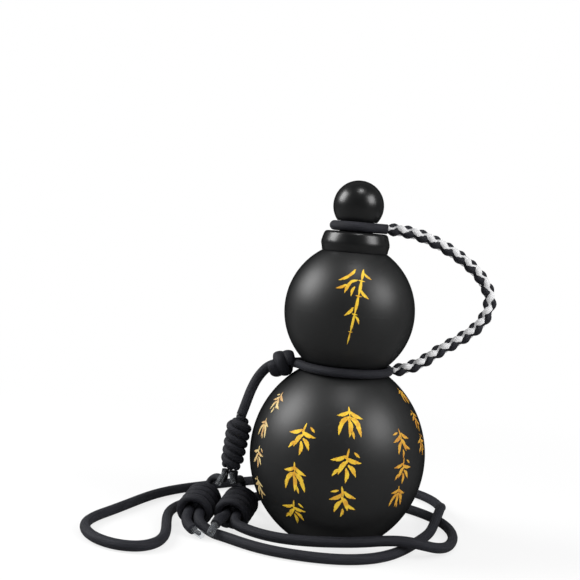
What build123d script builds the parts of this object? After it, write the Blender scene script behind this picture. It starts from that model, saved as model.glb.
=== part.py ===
from build123d import *
import os
from math import cos, hypot, pi, radians, sin, sqrt, tan

# Gourd water bottle in millimetres, +Z up, origin on the table under the bottle's axis.
# The front of the bottle looks along -Y. The knots of the strap lie on the -X side.

# Cords
cord_diameter = 5.0
strap_cord_diameter = 5.8
stopper_cord_diameter = 5.6
knot_cord_diameter = 4.2
braid_diameter = 7.6
cord_seat_gap = 0.3
cord_pair_gap = 0.2
face_gap = 0.05

# Bottle body, a turned shell of two round bulbs
lower_bulb_radius = 50.3
lower_bulb_height = 47.0
lower_arc_radius = 57.0
upper_bulb_radius = 37.2
upper_arc_radius = 40.0
waist_crease_radius = 20.58
waist_round = 2.2
wall = 4.5
floor_thickness = 5.0
floor_round = 4.0
foot_ring_width = 5.5
foot_recess = 2.0
foot_round = 0.8
neck_radius = 14.0
neck_bore_radius = 9.5
neck_height = 4.2
lip_round = 1.2
neck_root_round = 1.5

# Stopper, one glazed piece with a ball, a groove, a collar and a stem
ball_radius = 14.4
ball_root_radius = 11.3
groove_radius = 9.6
groove_width = 6.0
collar_radius = 19.5
collar_foot_radius = 18.8
collar_roof = 3.3
collar_widest_drop = 6.9
collar_shoulder_drop = 2.6
collar_shoulder_inset = 0.9
collar_brim_radius = 15.7
shoulder_gap = 0.4
recess_gap = 0.5
stem_radius = 6.5
stem_bead_radius = 7.3
stem_bead_height = 1.6

# Silicone seal on the stem
seal_fit = 0.05
seal_flange_gap = 0.1
seal_flange_radius = 12.8
seal_flange_thickness = 1.2
seal_sleeve_radius = 8.2
seal_length = 12.5
seal_rib_count = 4
seal_rib_gap = 0.3
seal_rib_width = 1.3
seal_rib_tip_width = 0.5

# Cord loops round the waist and round the stopper's groove, each closed by two leads side by side
waist_lead_reach = 30.0
waist_lead_angle = 16.0
stopper_lead_reach = 18.4
stopper_lead_angle = 36.0

# Wound knots
winding_gap = 0.5
core_clearance = 0.25
waist_knot_turns = 1.5
waist_knot_tilt = 12.0
strap_knot_turns = 3.5
strap_knot_turn_angle = 13.0
strap_knot_tilt = 15.0
core_spacing = 6.0
left_knot_place = (-77.6, -18.6, 10.2)
right_knot_place = (-56.2, -19.0, 10.2)
waist_knot_phase = 280.0
strap_knot_phase = 200.0

# Snake knot, a sennit that hangs beside the lower bulb
snake_top = (-56.2, -8.0, 64.6)
snake_bottom = (-60.0, -9.0, 33.2)
snake_top_radius = 7.6
snake_bottom_radius = 6.6
snake_lobes = 6
snake_lobe_depth = 1.1

# Clear tips that keep the cord ends from fraying
tip_diameter = 4.0
tip_length = 8.0
snake_tip_diameter = 3.2
tip_bore_share = 0.65

# Routes of the cords, point by point
hanger_route = [
    (-30.7, 0.0, 97.2), (-35.4, 0.0, 96.4), (-43.0, 0.0, 94.6), (-48.4, -1.5, 88.5),
    (-52.0, -4.0, 80.6), (-54.2, -6.5, 72.4), (-56.2, -8.0, 65.3),
]
tether_route = [
    (18.5, 0.0, 177.8), (31.0, 0.0, 177.8), (46.0, 1.6, 172.6), (60.0, 3.4, 165.6),
    (73.0, 5.0, 155.8), (80.6, 5.6, 142.6), (76.4, 4.6, 128.6), (64.6, 3.4, 118.6),
    (51.4, 1.8, 110.4), (40.6, 0.4, 100.8), (28.3, 0.0, 97.4),
]
outer_strap_route = [
    (-73.4, -14.6, 11.5), (-75.8, -25.7, 8.2), (-66.2, -31.4, 3.1), (-56.0, -37.4, 3.0),
    (-45.6, -45.0, 3.0), (-33.6, -51.4, 3.0), (-19.6, -55.2, 3.0), (-4.6, -56.6, 3.0),
    (10.0, -55.0, 3.0), (23.0, -49.2, 3.0), (33.0, -40.0, 3.0), (40.4, -29.0, 3.0),
    (46.8, -16.4, 3.0), (53.0, -3.0, 3.0), (58.4, 9.8, 3.4), (61.8, 21.4, 7.4),
    (64.4, 32.4, 9.5), (66.6, 45.0, 9.5), (68.4, 57.6, 6.2), (68.8, 69.8, 3.0),
    (65.6, 83.6, 3.0), (57.6, 97.0, 3.0), (45.6, 106.6, 3.0), (30.0, 112.6, 3.0),
    (12.0, 114.4, 3.0), (-6.0, 113.0, 3.0), (-24.0, 108.4, 3.0), (-41.0, 100.6, 3.0),
    (-57.0, 89.0, 3.0), (-71.6, 76.4, 3.0), (-85.4, 64.6, 3.0), (-98.2, 51.8, 3.0),
    (-108.4, 37.4, 3.0), (-115.4, 21.8, 3.0), (-121.2, 6.0, 3.0), (-127.0, -9.0, 3.0),
    (-132.8, -22.4, 3.0), (-135.2, -36.4, 3.0), (-131.2, -50.4, 3.0), (-122.4, -61.8, 3.0),
    (-110.4, -68.4, 3.0), (-98.6, -68.0, 3.0), (-91.0, -59.8, 3.0), (-88.8, -47.4, 3.0),
    (-90.2, -33.0, 3.0), (-92.8, -18.4, 3.0), (-94.6, -4.4, 3.0), (-94.0, 7.4, 3.0),
    (-90.4, 17.4, 3.1), (-84.2, 22.8, 4.9), (-76.6, 20.6, 9.0), (-70.2, 12.6, 13.3),
    (-69.4, 2.8, 16.3), (-71.6, -6.9, 13.6),
]
inner_strap_route = [
    (-52.7, -17.4, 10.8), (-54.8, -26.3, 8.3), (-47.4, -31.7, 7.2), (-37.2, -37.4, 6.6),
    (-25.0, -41.0, 6.5), (-11.4, -42.0, 6.8), (3.0, -41.6, 7.6), (17.0, -39.6, 8.4),
    (29.6, -36.0, 9.5), (41.0, -33.6, 9.7), (50.6, -31.6, 7.9), (59.2, -25.4, 4.9),
    (66.0, -15.4, 3.0), (70.2, -3.0, 3.0), (71.6, 11.0, 3.0), (69.8, 25.6, 3.0),
    (64.8, 38.8, 3.0), (56.4, 50.4, 3.0), (45.6, 60.2, 3.0), (32.0, 68.4, 3.0),
    (16.0, 73.4, 3.0), (-2.0, 74.4, 3.0), (-19.6, 71.4, 3.0), (-34.8, 64.6, 3.0),
    (-46.4, 55.0, 3.0), (-52.4, 43.4, 3.0), (-52.6, 31.2, 4.5), (-50.4, 20.6, 9.4),
    (-48.3, 11.4, 14.2), (-48.2, 2.4, 16.3), (-50.1, -6.1, 13.9),
]
left_tail_route = [(-80.1, -17.0, 10.5), (-81.4, -22.9, 8.7), (-79.4, -29.2, 5.0), (-75.2, -33.2, 4.2)]
right_tail_route = [(-58.7, -16.4, 10.7), (-60.1, -23.1, 9.2), (-61.9, -29.6, 11.1), (-63.1, -34.4, 8.7)]
left_strand_route = [
    (-62.6, -8.2, 33.3), (-62.9, -8.1, 29.7), (-63.6, -5.2, 26.6), (-65.4, 1.0, 25.2), (-69.2, 7.4, 25.0),
    (-73.2, 10.6, 21.6), (-74.6, 8.0, 17.4), (-75.8, 2.2, 15.7), (-76.9, -3.1, 14.3),
]
right_strand_route = [
    (-57.4, -8.2, 32.7), (-57.6, -8.1, 29.1), (-57.6, -5.3, 26.4), (-56.6, 0.8, 25.4), (-55.2, 7.4, 25.2),
    (-54.0, 10.9, 21.8), (-53.6, 8.6, 16.9), (-54.3, 2.5, 15.9), (-55.5, -2.5, 14.5),
]
left_snake_tip = [(-62.6, -12.6, 32.8), (-65.8, -14.9, 25.6)]
right_snake_tip = [(-59.2, -12.6, 32.3), (-57.0, -14.6, 27.4)]

# Worked-out sizes
cord_radius = cord_diameter / 2
strap_cord_radius = strap_cord_diameter / 2
stopper_cord_radius = stopper_cord_diameter / 2
knot_cord_radius = knot_cord_diameter / 2
lower_arc_centre = (lower_bulb_radius - lower_arc_radius, lower_bulb_height)
winding_pitch = knot_cord_diameter + winding_gap


def arc_reach(centre, radius, height):
    """Radius from the bottle's axis at which an arc stands at a height."""
    return centre[0] + sqrt(radius ** 2 - (height - centre[1]) ** 2)


def arc_height(centre, radius, reach, side):
    """Height at which an arc stands at a radius from the axis, above (1) or below (-1) its centre."""
    return centre[1] + side * sqrt(radius ** 2 - (reach - centre[0]) ** 2)


def centre_above(crease, radius, bulb_radius):
    """Centre of the arc of a bulb that stands on the crease where the two bulbs meet."""
    reach = bulb_radius - radius
    return reach, crease[1] + sqrt(radius ** 2 - (crease[0] - reach) ** 2)


waist_crease = (waist_crease_radius, arc_height(lower_arc_centre, lower_arc_radius, waist_crease_radius, 1))
upper_arc_centre = centre_above(waist_crease, upper_arc_radius, upper_bulb_radius)


def waist_point(offset):
    """Where both bulbs' arcs, moved outwards by an offset, meet at the waist."""
    first = lower_arc_radius + offset
    second = upper_arc_radius + offset
    run = upper_arc_centre[0] - lower_arc_centre[0]
    rise = upper_arc_centre[1] - lower_arc_centre[1]
    apart = hypot(run, rise)
    along = (first ** 2 - second ** 2 + apart ** 2) / (2 * apart)
    aside = sqrt(first ** 2 - along ** 2)
    reach = lower_arc_centre[0] + (along * run + aside * rise) / apart
    return reach, lower_arc_centre[1] + (along * rise - aside * run) / apart


def towards(start, goal, distance):
    """The point at a distance from start on the way to goal."""
    apart = hypot(goal[0] - start[0], goal[1] - start[1])
    share = distance / apart
    return start[0] + (goal[0] - start[0]) * share, start[1] + (goal[1] - start[1]) * share


def profile_arc(centre, radius, start, end):
    """Arc about a centre in the profile plane, the short way from start to end."""
    middle = ((start[0] + end[0]) / 2, (start[1] + end[1]) / 2)
    top = towards(centre, middle, radius)
    return ThreePointArc(*[(reach, 0, height) for reach, height in (start, top, end)])


def profile_line(*points):
    return Polyline(*[(reach, 0, height) for reach, height in points])


def turned(edges):
    """Solid turned about Z from the edges of a closed profile in the XZ plane."""
    return revolve(make_face(Wire(edges)), axis=Axis.Z)


def round_rims(solid, reach, height, radius):
    """Round the circular edge of a turned solid that runs at a radius and a height."""
    rims = [
        edge
        for edge in solid.edges().filter_by(GeomType.CIRCLE)
        if abs(edge.radius - reach) < radius / 9 and abs((edge @ 0).Z - height) < radius / 9
    ]
    return fillet(rims, radius)


waist_centre = waist_point(waist_round)
waist_loop_radius, waist_loop_height = waist_point(cord_radius + cord_seat_gap)
foot_radius = arc_reach(lower_arc_centre, lower_arc_radius, 0)
neck_top_height = arc_height(upper_arc_centre, upper_arc_radius, neck_radius, 1) + neck_height
floor_height = foot_recess + floor_thickness
neck_foot_height = arc_height(upper_arc_centre, upper_arc_radius - wall, neck_bore_radius, 1)
recess_ceiling = neck_top_height + seal_flange_gap + seal_flange_thickness + seal_fit
collar_top = recess_ceiling + collar_roof
stopper_loop_radius = groove_radius + cord_seat_gap + stopper_cord_radius
stopper_loop_height = collar_top + cord_seat_gap + stopper_cord_radius
ball_height = collar_top + groove_width + sqrt(ball_radius ** 2 - ball_root_radius ** 2)
waist_knot_radius = strap_cord_radius + core_clearance + knot_cord_radius
strap_knot_radius = core_spacing / 2 + strap_cord_radius + core_clearance + knot_cord_radius


def lower_wall(inset):
    """The lower bulb's curve, moved inwards by an inset, from its foot up to the joint in the waist."""
    radius = lower_arc_radius - inset
    foot = floor_height if inset else 0
    start = (arc_reach(lower_arc_centre, radius, foot), foot)
    widest = (lower_arc_centre[0] + radius, lower_arc_centre[1])
    end = towards(lower_arc_centre, waist_centre, radius)
    joint = (waist_centre[0] - waist_round - inset, waist_centre[1])
    edges = [
        profile_arc(lower_arc_centre, radius, start, widest),
        profile_arc(lower_arc_centre, radius, widest, end),
        profile_arc(waist_centre, waist_round + inset, end, joint),
    ]
    return edges, start, joint


def upper_wall(inset):
    """The upper bulb's curve, moved inwards by an inset, from the joint in the waist up to the neck's foot."""
    radius = upper_arc_radius - inset
    joint = (waist_centre[0] - waist_round - inset, waist_centre[1])
    start = towards(upper_arc_centre, waist_centre, radius)
    widest = (upper_arc_centre[0] + radius, upper_arc_centre[1])
    end = (arc_reach(upper_arc_centre, radius, neck_foot_height), neck_foot_height)
    edges = [
        profile_arc(waist_centre, waist_round + inset, joint, start),
        profile_arc(upper_arc_centre, radius, start, widest),
        profile_arc(upper_arc_centre, radius, widest, end),
    ]
    return edges, joint, end


def lower_bulb():
    """The vessel's lower bulb: foot ring, floor and one wall thickness up to the joint in the waist."""
    outside, foot_edge, outer_joint = lower_wall(0)
    inside, floor_edge, inner_joint = lower_wall(wall)
    foot_inner = foot_radius - foot_ring_width
    base = profile_line((0, floor_height), (0, foot_recess), (foot_inner, foot_recess), (foot_inner, 0), foot_edge)
    joint = profile_line(outer_joint, inner_joint)
    bed = profile_line(floor_edge, (0, floor_height))
    body = turned([*base.edges(), *outside, *joint.edges(), *inside, *bed.edges()])
    body = round_rims(body, floor_edge[0], floor_height, floor_round)
    body = round_rims(body, foot_radius, 0, foot_round)
    return round_rims(body, foot_inner, 0, foot_round)


def upper_bulb():
    """The vessel's upper bulb, from the joint in the waist up to the foot of the neck."""
    outside, outer_joint, outer_top = upper_wall(0)
    inside, inner_joint, inner_top = upper_wall(wall)
    waist = profile_line(inner_joint, outer_joint)
    top = profile_line(outer_top, inner_top)
    return turned([*outside, *top.edges(), *inside, *waist.edges()])


def neck():
    """The vessel's neck: a short collar on the upper bulb's shoulder, round the pouring bore."""
    foot = (arc_reach(upper_arc_centre, upper_arc_radius, neck_foot_height), neck_foot_height)
    shoulder = (neck_radius, neck_top_height - neck_height)
    slope = profile_arc(upper_arc_centre, upper_arc_radius, foot, shoulder)
    rest = profile_line(
        shoulder, (neck_radius, neck_top_height), (neck_bore_radius, neck_top_height),
        (neck_bore_radius, neck_foot_height), foot
    )
    ring = turned([slope, *rest.edges()])
    ring = round_rims(ring, neck_radius, neck_top_height, lip_round)
    ring = round_rims(ring, neck_bore_radius, neck_top_height, lip_round)
    return round_rims(ring, *shoulder, neck_root_round)


def stopper():
    """Ball, cord groove and collar, with a recess over the neck and a beaded stem."""
    recess_radius = neck_radius + recess_gap
    under = upper_arc_radius + shoulder_gap
    inner_edge = (recess_radius, arc_height(upper_arc_centre, under, recess_radius, 1))
    outer_edge = (collar_foot_radius, arc_height(upper_arc_centre, under, collar_foot_radius, 1))
    widest = (collar_radius, collar_top - collar_widest_drop)
    shoulder = (collar_radius - collar_shoulder_inset, collar_top - collar_shoulder_drop)
    brim = (collar_brim_radius, collar_top)
    groove_top = collar_top + groove_width
    ball_root = (ball_root_radius, groove_top)
    ball_top = ball_height + ball_radius
    stem_end = neck_top_height - seal_length - stem_bead_height
    bead_top = stem_end + stem_bead_height
    stem = profile_line(
        (0, ball_top), (0, stem_end), (stem_bead_radius, stem_end), (stem_bead_radius, bead_top),
        (stem_radius, bead_top), (stem_radius, recess_ceiling), (recess_radius, recess_ceiling), inner_edge
    )
    side = Spline(
        *[(reach, 0, height) for reach, height in (outer_edge, widest, shoulder, brim)],
        tangents=[(0, 0, 1), (-1, 0, 0)]
    )
    groove = profile_line(brim, (groove_radius, collar_top), (groove_radius, groove_top), ball_root)
    ball = ThreePointArc((ball_root_radius, 0, groove_top), (ball_radius, 0, ball_height), (0, 0, ball_top))
    seat = profile_arc(upper_arc_centre, under, inner_edge, outer_edge)
    knob = turned([*stem.edges(), seat, side, *groove.edges(), ball])
    return round_rims(knob, stem_bead_radius, stem_end, stem_bead_height / 2)


def stopper_seal():
    """Silicone sleeve on the stem, with a flange on the rim and ribs that fill the bore."""
    inner = stem_radius + seal_fit
    rib_radius = neck_bore_radius - seal_rib_gap
    flange_bottom = neck_top_height + seal_flange_gap
    flange_top = flange_bottom + seal_flange_thickness
    bottom = neck_top_height - seal_length
    rib_pitch = seal_length / (seal_rib_count + 1)
    points = [(inner, bottom), (seal_sleeve_radius, bottom)]
    for rib in range(seal_rib_count):
        middle = bottom + rib_pitch * (rib + 1)
        points.append((seal_sleeve_radius, middle - seal_rib_width / 2))
        points.append((rib_radius, middle - seal_rib_tip_width / 2))
        points.append((rib_radius, middle + seal_rib_tip_width / 2))
        points.append((seal_sleeve_radius, middle + seal_rib_width / 2))
    points += [(seal_sleeve_radius, flange_bottom), (seal_flange_radius, flange_bottom)]
    points += [(seal_flange_radius, flange_top), (inner, flange_top), (inner, bottom)]
    return turned(profile_line(*points).edges())


def tube(path, diameter):
    """Round cord of one diameter along a path."""
    start = Plane(origin=path @ 0, z_dir=path % 0)
    return sweep(start * Circle(diameter / 2), path=path)


def bend_radii(points):
    """Largest arcs that the two runs beside each corner allow."""
    bend_share = 0.45
    corners = [Vector(*point) for point in points]
    radii = []
    for before, corner, after in zip(corners, corners[1:], corners[2:]):
        turn = (corner - before).get_angle(after - corner)
        shorter = min((corner - before).length, (after - corner).length)
        radii.append(bend_share * shorter / tan(radians(turn / 2)))
    return radii


def free_cord(name, points, diameter):
    """Free stretch of a cord: straight runs joined by tangent arcs."""
    radii = bend_radii(points)
    path = FilletPolyline(*points, radius=radii)
    cord = tube(path, diameter)
    expected = pi * diameter ** 2 / 4 * path.length
    print(name, "length", round(path.length, 1), "least radius", round(min(radii), 1))
    print("  radii", [round(radius, 1) for radius in radii])
    print("  volume over section times length", round(cord.volume / expected, 4))
    return cord


def biarc(start, start_heading, end, end_heading):
    """Two arcs that leave start and reach end along the given unit headings."""
    gap = end - start
    both = start_heading + end_heading
    bend = 2 * (1 - start_heading.dot(end_heading))
    pull = gap.dot(both)
    reach = (sqrt(pull ** 2 + bend * gap.dot(gap)) - pull) / bend
    first = start + start_heading * reach
    second = end - end_heading * reach
    middle = (first + second) / 2
    return [
        TangentArc(start, middle, tangent=start_heading),
        TangentArc(middle, end, tangent=(second - first).normalized()),
    ]


def cord_loop(radius, height, reach, side, lead_angle, diameter):
    """Path of a cord round the axis whose two ends leave side by side, towards +X (1) or -X (-1)."""
    quarter_count = 6
    lead_offset = (diameter + cord_pair_gap) / 2
    first_angle = radians(lead_angle)
    step = (2 * pi - 2 * first_angle) / quarter_count
    lead = Vector(side, 0, 0)
    angles = [first_angle + step * index for index in range(quarter_count + 1)]
    points = [Vector(side * radius * cos(angle), radius * sin(angle), height) for angle in angles]
    headings = [Vector(-side * sin(angle), cos(angle), 0) for angle in angles]
    start = Vector(side * reach, lead_offset, height)
    end = Vector(side * reach, -lead_offset, height)
    edges = biarc(start, -lead, points[0], headings[0])
    for index in range(quarter_count):
        edges.append(TangentArc(points[index], points[index + 1], tangent=headings[index]))
    edges += biarc(points[-1], headings[-1], end, lead)
    return Wire(edges)


def winding(name, frame, radius, turns, phase):
    """Cord wound round a core on quarter turns, from frame's origin along its Z, ends run out straight."""
    quarters = round(turns * 4)
    rise = winding_pitch / (2 * pi)

    def place(angle):
        return frame.from_local_coords(Vector(radius * cos(angle), radius * sin(angle), rise * (angle - first)))

    def heading(angle):
        ahead = Vector(-radius * sin(angle), radius * cos(angle), rise)
        return (frame.from_local_coords(ahead) - frame.origin).normalized()

    first = radians(phase)
    angles = [first + pi / 2 * index for index in range(quarters + 1)]
    edges = [Line(place(first) - heading(first) * knot_cord_diameter, place(first))]
    for start, end in zip(angles, angles[1:]):
        edges += biarc(place(start), heading(start), place(end), heading(end))
    edges.append(Line(place(angles[-1]), place(angles[-1]) + heading(angles[-1]) * knot_cord_diameter))
    report_gap(name, [place(first + pi / 24 * index) for index in range(quarters * 12 + 1)])
    return tube(Wire(edges), knot_cord_diameter)


def report_gap(name, points):
    """Print the least clear gap between one turn and the next."""
    half_turn = 24
    gaps = [
        (points[early] - points[late]).length
        for early in range(len(points))
        for late in range(early + half_turn, len(points))
    ]
    print(name, "least gap between turns", round(min(gaps) - knot_cord_diameter, 2))


def knot_frame(place):
    """Frame of a strap knot: origin in its near turn, Z along its core towards the back."""
    turn = radians(strap_knot_turn_angle)
    tilt = radians(strap_knot_tilt)
    core = (sin(turn) * cos(tilt), cos(turn) * cos(tilt), sin(tilt))
    return Plane(origin=place, x_dir=(cos(turn), -sin(turn), 0), z_dir=core)


def waist_knot():
    """Turns wound round the cord that leaves the waist loop, along the way that it falls."""
    tilt = radians(waist_knot_tilt)
    run = core_clearance + knot_cord_radius
    near_turn = (-waist_lead_reach - run, 0, waist_loop_height - run * tan(tilt))
    frame = Plane(origin=near_turn, x_dir=(0, 1, 0), z_dir=(-cos(tilt), 0, -sin(tilt)))
    return winding("waist_knot", frame, waist_knot_radius, waist_knot_turns, waist_knot_phase)


def snake_knot():
    """Tapering sennit with a row of rounded lobes down each side."""
    top = Vector(*snake_top)
    bottom = Vector(*snake_bottom)
    length = (bottom - top).length
    pitch = length / snake_lobes
    edges = []
    for lobe in range(snake_lobes):
        start, middle, end = (lobe, lobe + 1 / 2, lobe + 1)
        radii = [
            snake_top_radius + (snake_bottom_radius - snake_top_radius) * place / snake_lobes
            for place in (start, middle, end)
        ]
        valley_start = (radii[0] - snake_lobe_depth, 0, start * pitch)
        crest = (radii[1], 0, middle * pitch)
        valley_end = (radii[2] - snake_lobe_depth, 0, end * pitch)
        edges.append(ThreePointArc(valley_start, crest, valley_end))
    ends = Polyline(edges[-1] @ 1, (0, 0, length), (0, 0, 0), edges[0] @ 0)
    return Plane(origin=top, z_dir=bottom - top) * turned([*edges, *ends.edges()])


def clear_tip(points, diameter):
    """Clear sleeve between two points."""
    start, end = (Vector(*point) for point in points)
    frame = Plane(origin=start, z_dir=end - start)
    ring = Circle(diameter / 2) - Circle(tip_bore_share * diameter / 2)
    return extrude(frame * ring, (end - start).length)


def tail_tip(route):
    """Clear sleeve that goes on from the last run of a tail."""
    before, last = (Vector(*point) for point in route[-2:])
    heading = (last - before).normalized()
    return clear_tip([last + heading * face_gap, last + heading * (face_gap + tip_length)], tip_diameter)


def build():
    loop = cord_loop(
        waist_loop_radius, waist_loop_height, waist_lead_reach, -1, waist_lead_angle, cord_diameter
    )
    cap_loop = cord_loop(
        stopper_loop_radius, stopper_loop_height, stopper_lead_reach, 1, stopper_lead_angle, stopper_cord_diameter
    )
    left_frame = knot_frame(left_knot_place)
    right_frame = knot_frame(right_knot_place)
    turns, phase = strap_knot_turns, strap_knot_phase
    return {
        "lower_bulb": lower_bulb(),
        "upper_bulb": upper_bulb(),
        "neck": neck(),
        "stopper": stopper(),
        "stopper_seal": stopper_seal(),
        "stopper_loop": tube(cap_loop, stopper_cord_diameter),
        "tether_braid": free_cord("tether_braid", tether_route, braid_diameter),
        "waist_loop": tube(loop, cord_diameter),
        "waist_knot": waist_knot(),
        "hanger_cord": free_cord("hanger_cord", hanger_route, strap_cord_diameter),
        "snake_knot": snake_knot(),
        "snake_strand_left": free_cord("snake_strand_left", left_strand_route, knot_cord_diameter),
        "snake_strand_right": free_cord("snake_strand_right", right_strand_route, knot_cord_diameter),
        "snake_tip_left": clear_tip(left_snake_tip, snake_tip_diameter),
        "snake_tip_right": clear_tip(right_snake_tip, snake_tip_diameter),
        "strap_knot_left": winding("strap_knot_left", left_frame, strap_knot_radius, turns, phase),
        "strap_knot_right": winding("strap_knot_right", right_frame, strap_knot_radius, turns, phase),
        "tail_left": free_cord("tail_left", left_tail_route, strap_cord_diameter),
        "tail_right": free_cord("tail_right", right_tail_route, strap_cord_diameter),
        "tail_tip_left": tail_tip(left_tail_route),
        "tail_tip_right": tail_tip(right_tail_route),
        "strap_outer": free_cord("strap_outer", outer_strap_route, strap_cord_diameter),
        "strap_inner": free_cord("strap_inner", inner_strap_route, strap_cord_diameter),
    }


os.makedirs("parts", exist_ok=True)
for node, solid in build().items():
    export_step(solid, f"parts/{node}.step")
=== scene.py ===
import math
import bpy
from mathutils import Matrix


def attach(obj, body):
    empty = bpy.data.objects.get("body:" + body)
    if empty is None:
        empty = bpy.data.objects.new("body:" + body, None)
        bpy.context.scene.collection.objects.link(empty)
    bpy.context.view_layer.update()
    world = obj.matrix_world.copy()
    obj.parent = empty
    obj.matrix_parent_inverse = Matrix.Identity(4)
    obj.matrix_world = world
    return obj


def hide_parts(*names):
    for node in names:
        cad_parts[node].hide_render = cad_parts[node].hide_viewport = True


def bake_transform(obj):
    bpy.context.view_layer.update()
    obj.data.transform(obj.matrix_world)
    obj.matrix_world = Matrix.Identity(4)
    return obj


bl_info = {
    "name": "Gourd Water Bottle",
    "version": (1, 0, 0),
    "blender": (4, 5, 0),
    "location": "3D View > Sidebar > Gourd Bottle",
    "description": "Black gourd flask with a ball stopper, a braided tether and a knotted strap",
    "category": "Add Mesh",
}

import bpy
import numpy as np
from mathutils import Matrix, Vector

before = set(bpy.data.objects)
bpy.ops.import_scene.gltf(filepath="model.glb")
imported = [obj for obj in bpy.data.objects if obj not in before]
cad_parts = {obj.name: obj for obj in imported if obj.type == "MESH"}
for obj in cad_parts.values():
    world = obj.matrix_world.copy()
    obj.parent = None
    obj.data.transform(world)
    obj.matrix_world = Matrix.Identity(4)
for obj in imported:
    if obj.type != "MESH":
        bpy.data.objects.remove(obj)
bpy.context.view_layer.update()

# Routes of the cords in metres, the control points of smooth splines
OUTER_STRAP = [
    (-0.0734, -0.0146, 0.0115), (-0.0758, -0.0257, 0.0082), (-0.0662, -0.0314, 0.0031),
    (-0.056, -0.0374, 0.003), (-0.0456, -0.045, 0.003), (-0.0336, -0.0514, 0.003), (-0.0196, -0.0552, 0.003),
    (-0.0046, -0.0566, 0.003), (0.01, -0.055, 0.003), (0.023, -0.0492, 0.003), (0.033, -0.04, 0.003),
    (0.0404, -0.029, 0.003), (0.0468, -0.0164, 0.003), (0.053, -0.003, 0.003), (0.0584, 0.0098, 0.0034),
    (0.0618, 0.0214, 0.0074), (0.0644, 0.0324, 0.0095), (0.0666, 0.045, 0.0095), (0.0684, 0.0576, 0.0062),
    (0.0688, 0.0698, 0.003), (0.0656, 0.0836, 0.003), (0.0576, 0.097, 0.003), (0.0456, 0.1066, 0.003),
    (0.03, 0.1126, 0.003), (0.012, 0.1144, 0.003), (-0.006, 0.113, 0.003), (-0.024, 0.1084, 0.003),
    (-0.041, 0.1006, 0.003), (-0.057, 0.089, 0.003), (-0.0716, 0.0764, 0.003), (-0.0854, 0.0646, 0.003),
    (-0.0982, 0.0518, 0.003), (-0.1084, 0.0374, 0.003), (-0.1154, 0.0218, 0.003), (-0.1212, 0.006, 0.003),
    (-0.127, -0.009, 0.003), (-0.1328, -0.0224, 0.003), (-0.1352, -0.0364, 0.003), (-0.1312, -0.0504, 0.003),
    (-0.1224, -0.0618, 0.003), (-0.1104, -0.0684, 0.003), (-0.0986, -0.068, 0.003), (-0.091, -0.0598, 0.003),
    (-0.0888, -0.0474, 0.003), (-0.0902, -0.033, 0.003), (-0.0928, -0.0184, 0.003), (-0.0946, -0.0044, 0.003),
    (-0.094, 0.0074, 0.003), (-0.0904, 0.0174, 0.0031), (-0.0842, 0.0228, 0.0049), (-0.0766, 0.0206, 0.009),
    (-0.0702, 0.0126, 0.0133), (-0.0694, 0.0028, 0.0163), (-0.0716, -0.0069, 0.0136),
]
INNER_STRAP = [
    (-0.0527, -0.0174, 0.0108), (-0.0548, -0.0263, 0.0083), (-0.0474, -0.0317, 0.0072),
    (-0.0372, -0.0374, 0.0066), (-0.025, -0.041, 0.0065), (-0.0114, -0.042, 0.0068), (0.003, -0.0416, 0.0076),
    (0.017, -0.0396, 0.0084), (0.0296, -0.036, 0.0095), (0.041, -0.0336, 0.0097), (0.0506, -0.0316, 0.0079),
    (0.0592, -0.0254, 0.0049), (0.066, -0.0154, 0.003), (0.0702, -0.003, 0.003), (0.0716, 0.011, 0.003),
    (0.0698, 0.0256, 0.003), (0.0648, 0.0388, 0.003), (0.0564, 0.0504, 0.003), (0.0456, 0.0602, 0.003),
    (0.032, 0.0684, 0.003), (0.016, 0.0734, 0.003), (-0.002, 0.0744, 0.003), (-0.0196, 0.0714, 0.003),
    (-0.0348, 0.0646, 0.003), (-0.0464, 0.055, 0.003), (-0.0524, 0.0434, 0.003), (-0.0526, 0.0312, 0.0045),
    (-0.0504, 0.0206, 0.0094), (-0.0483, 0.0114, 0.0142), (-0.0482, 0.0024, 0.0163),
    (-0.0501, -0.0061, 0.0139),
]
HANGER = [
    (-0.0307, 0.0, 0.0972), (-0.0354, 0.0, 0.0964), (-0.043, 0.0, 0.0946), (-0.0484, -0.0015, 0.0885),
    (-0.052, -0.004, 0.0806), (-0.0542, -0.0065, 0.0724), (-0.0562, -0.008, 0.0653),
]
TETHER = [
    (0.0168, 0.0, 0.1778), (0.0300, 0.0, 0.1778), (0.046, 0.0016, 0.1726), (0.06, 0.0034, 0.1656),
    (0.073, 0.005, 0.1558), (0.0806, 0.0056, 0.1426), (0.0764, 0.0046, 0.1286), (0.0646, 0.0034, 0.1186),
    (0.0514, 0.0018, 0.1104), (0.0406, 0.0004, 0.1008), (0.0268, 0.0, 0.0974),
]
LEFT_STRAND = [
    (-0.0626, -0.0082, 0.0333), (-0.0629, -0.0081, 0.0297), (-0.0636, -0.0052, 0.0266),
    (-0.0654, 0.001, 0.0252), (-0.0692, 0.0074, 0.025), (-0.0732, 0.0106, 0.0216), (-0.0746, 0.008, 0.0174),
    (-0.0758, 0.0022, 0.0157), (-0.0769, -0.0031, 0.0143),
]
RIGHT_STRAND = [
    (-0.0574, -0.0082, 0.0327), (-0.0576, -0.0081, 0.0291), (-0.0576, -0.0053, 0.0264),
    (-0.0566, 0.0008, 0.0254), (-0.0552, 0.0074, 0.0252), (-0.054, 0.0109, 0.0218), (-0.0536, 0.0086, 0.0169),
    (-0.0543, 0.0025, 0.0159), (-0.0555, -0.0025, 0.0145),
]
LEFT_TAIL = [
    (-0.0801, -0.017, 0.0105), (-0.0814, -0.0229, 0.0087), (-0.0794, -0.0292, 0.005),
    (-0.0752, -0.0332, 0.0042),
]
RIGHT_TAIL = [
    (-0.0587, -0.0164, 0.0107), (-0.0601, -0.0231, 0.0092), (-0.0619, -0.0296, 0.0111),
    (-0.0631, -0.0344, 0.0087),
]

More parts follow.
